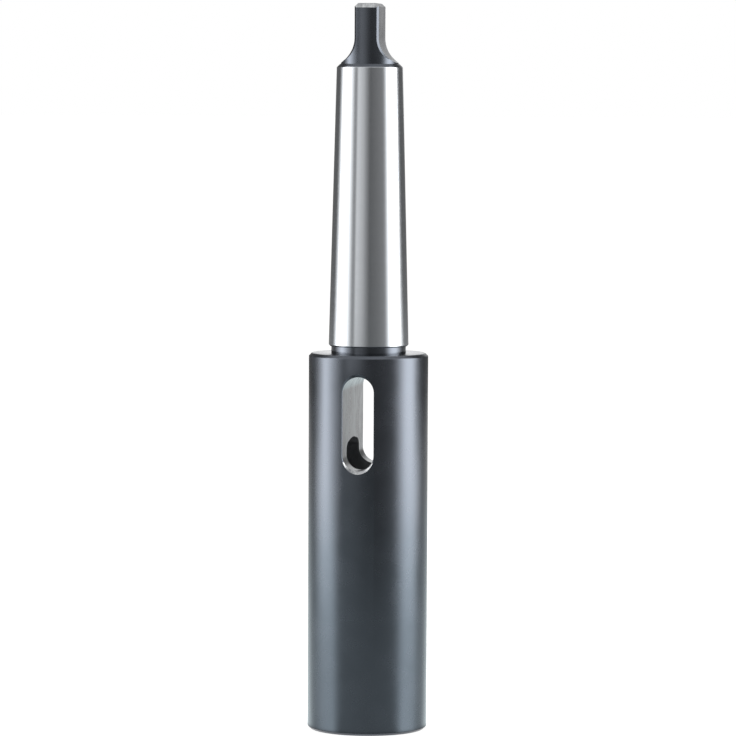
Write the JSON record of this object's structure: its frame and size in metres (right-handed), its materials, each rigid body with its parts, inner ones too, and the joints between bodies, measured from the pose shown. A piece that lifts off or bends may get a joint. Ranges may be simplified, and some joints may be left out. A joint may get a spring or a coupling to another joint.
{
  "type": "morse taper extension sleeve",
  "caption": "Turned steel extension sleeve with a tapered shank and flat tang at one end, and a tapered socket with a drift slot at the other.",
  "frame": {"origin": "centre of the socket's mouth, on the mouth face", "axes": "+Z along the sleeve's axis from the mouth to the tang, the tang's flats face +X and -X, and the drift slot runs along Y"},
  "size_m": [0.036, 0.036, 0.2188],
  "materials": {
    "steel": "blackened body, neck and tang, with a ground shank and bare machined slot walls"
  },
  "bodies": {
    "root": {"extension_sleeve": "steel"}
  },
  "joints": []
}
